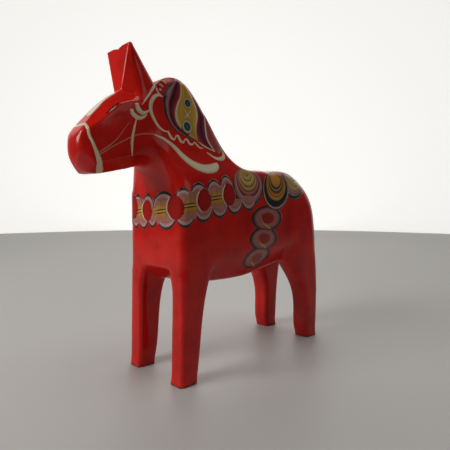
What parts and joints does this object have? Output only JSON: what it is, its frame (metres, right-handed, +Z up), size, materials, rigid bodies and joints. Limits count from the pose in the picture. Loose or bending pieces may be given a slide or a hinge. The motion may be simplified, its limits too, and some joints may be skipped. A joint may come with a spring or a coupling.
{
  "type": "dala horse",
  "caption": "Free-standing carved and painted wooden horse, glued up from pine boards with tongued edges and hidden dowels.",
  "frame": {"origin": "centre of the footprint, on the surface the soles stand on", "axes": "+Z up; the muzzle points to -Y; +X is the horse's left side, and X = 0 is the plane of symmetry"},
  "size_m": [0.086, 0.2991, 0.3],
  "materials": {
    "painted_pine": "pine dipped in signal-red paint, brush-decorated and clear varnished to a gloss",
    "bare_beech": "planed bare beech",
    "cream_brushwork": "cream oil paint lines under varnish",
    "flower_brushwork": "loaded-brush flower painting in pinks, yellows, dark green and blue under varnish"
  },
  "bodies": {
    "root": {"core_front_board": "painted_pine", "core_rear_board": "painted_pine", "left_front_board": "painted_pine", "left_rear_board": "painted_pine", "right_front_board": "painted_pine", "right_rear_board": "painted_pine", "locating_dowels": "bare_beech"}
  },
  "joints": []
}
